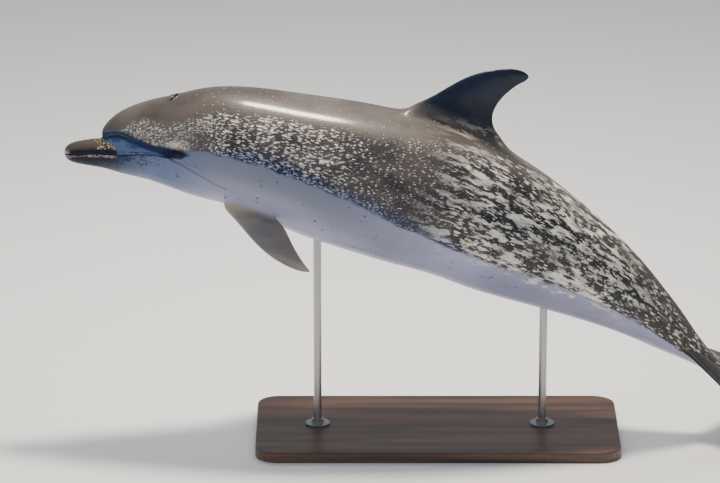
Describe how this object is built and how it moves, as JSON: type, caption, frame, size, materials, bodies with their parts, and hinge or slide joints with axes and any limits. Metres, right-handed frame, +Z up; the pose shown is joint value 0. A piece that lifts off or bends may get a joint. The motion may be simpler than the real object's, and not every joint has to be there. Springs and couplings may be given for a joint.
{
  "type": "atlantic spotted dolphin",
  "caption": "Life-size leaping spotted dolphin: slender beak, rounded melon, sickle dorsal fin, swept flippers and flukes, body arched tail down, held by rods on a flat base.",
  "frame": {"origin": "middle of the stand's underside, on the floor", "axes": "+Z up, -X towards the beak, -Y towards the animal's left side; the XZ plane is the plane of symmetry"},
  "size_m": [1.892, 0.4794, 1.0492],
  "materials": {
    "skin": "wet, smooth skin: brown-grey above, slate flanks with pale flecks, lavender-grey belly with dark spots",
    "eye": "wet gloss, nearly black",
    "wood": "dark stained, satin lacquer",
    "steel": "brushed along the rod"
  },
  "bodies": {
    "root": {"upper_beak": "skin", "lower_jaw": "skin", "head": "skin", "chest": "skin", "trunk": "skin", "loin": "skin", "tail_stock": "skin", "dorsal_fin": "skin", "flipper_left": "skin", "flipper_right": "skin", "fluke_left": "skin", "fluke_right": "skin", "eye_left": "eye", "eye_right": "eye", "stand_base": "wood", "stand_rod_front": "steel", "stand_rod_rear": "steel", "stand_collar_front": "steel", "stand_collar_rear": "steel"}
  },
  "joints": []
}
